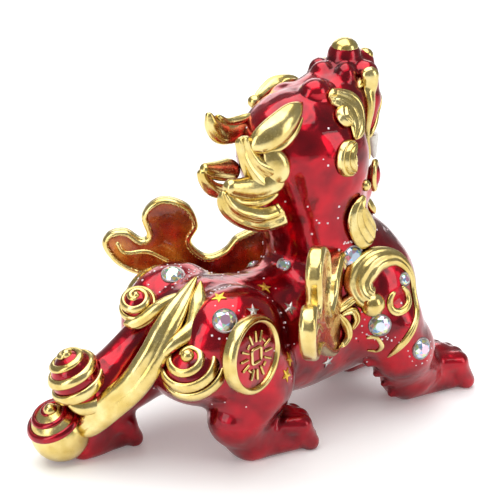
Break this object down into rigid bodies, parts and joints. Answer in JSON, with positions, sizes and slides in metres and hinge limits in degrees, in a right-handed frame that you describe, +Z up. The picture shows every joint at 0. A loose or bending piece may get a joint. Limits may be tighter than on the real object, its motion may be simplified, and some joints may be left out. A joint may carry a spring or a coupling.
{
  "type": "foo dog statue",
  "caption": "Winged foo dog figurine, cast metal, gold plated and red enamelled, walking with its head thrown back, with cloud-scroll wings and a curled flame tail.",
  "frame": {"origin": "bottom centre of the bounding box, on the shelf surface", "axes": "+X forwards along the body, +Y to the lion's left, +Z up"},
  "size_m": [0.0902, 0.0602, 0.072],
  "materials": {
    "enamel": "deep translucent red enamel over polished metal, high gloss",
    "gold": "bright pale gold plating, mirror polished",
    "amber": "translucent amber-brown enamel over gold, high gloss",
    "teeth": "opaque white enamel, gloss",
    "stone": "faceted crystal with an iridescent coating",
    "gold_foil": "gold foil under clear lacquer",
    "silver_foil": "silver foil under clear lacquer"
  },
  "bodies": {
    "root": {"trunk_right_half": "enamel", "trunk_left_half": "enamel", "right_hind_leg": "enamel", "left_hind_leg": "enamel", "right_front_leg": "enamel", "left_front_leg": "enamel", "head_casting": "enamel", "lower_jaw": "enamel", "tongue": "enamel", "upper_teeth": "teeth", "lower_teeth": "teeth", "upper_lip_rim": "gold", "nose_cap": "gold", "right_ear": "gold", "left_ear": "gold", "right_brow": "gold", "left_brow": "gold", "right_cheek_curl": "gold", "left_cheek_curl": "gold", "right_nape_lock": "gold", "left_nape_lock": "gold", "right_nape_sweep": "gold", "left_nape_sweep": "gold", "beard": "gold", "right_wing": "gold", "left_wing": "gold", "right_wing_flame": "gold", "left_wing_flame": "gold", "tail_rib": "gold", "tail_upper_curl": "gold", "tail_lower_curl": "gold", "tail_tip_curl": "gold", "tail_side_curl": "gold", "right_coin": "gold", "left_coin": "gold", "right_shoulder_scroll": "gold", "left_shoulder_scroll": "gold", "right_wing_enamel": "amber", "left_wing_enamel": "amber", "large_crystals": "stone", "small_crystals": "stone", "eye_stones": "stone", "gold_stars": "gold_foil", "silver_stars": "silver_foil"}
  },
  "joints": []
}
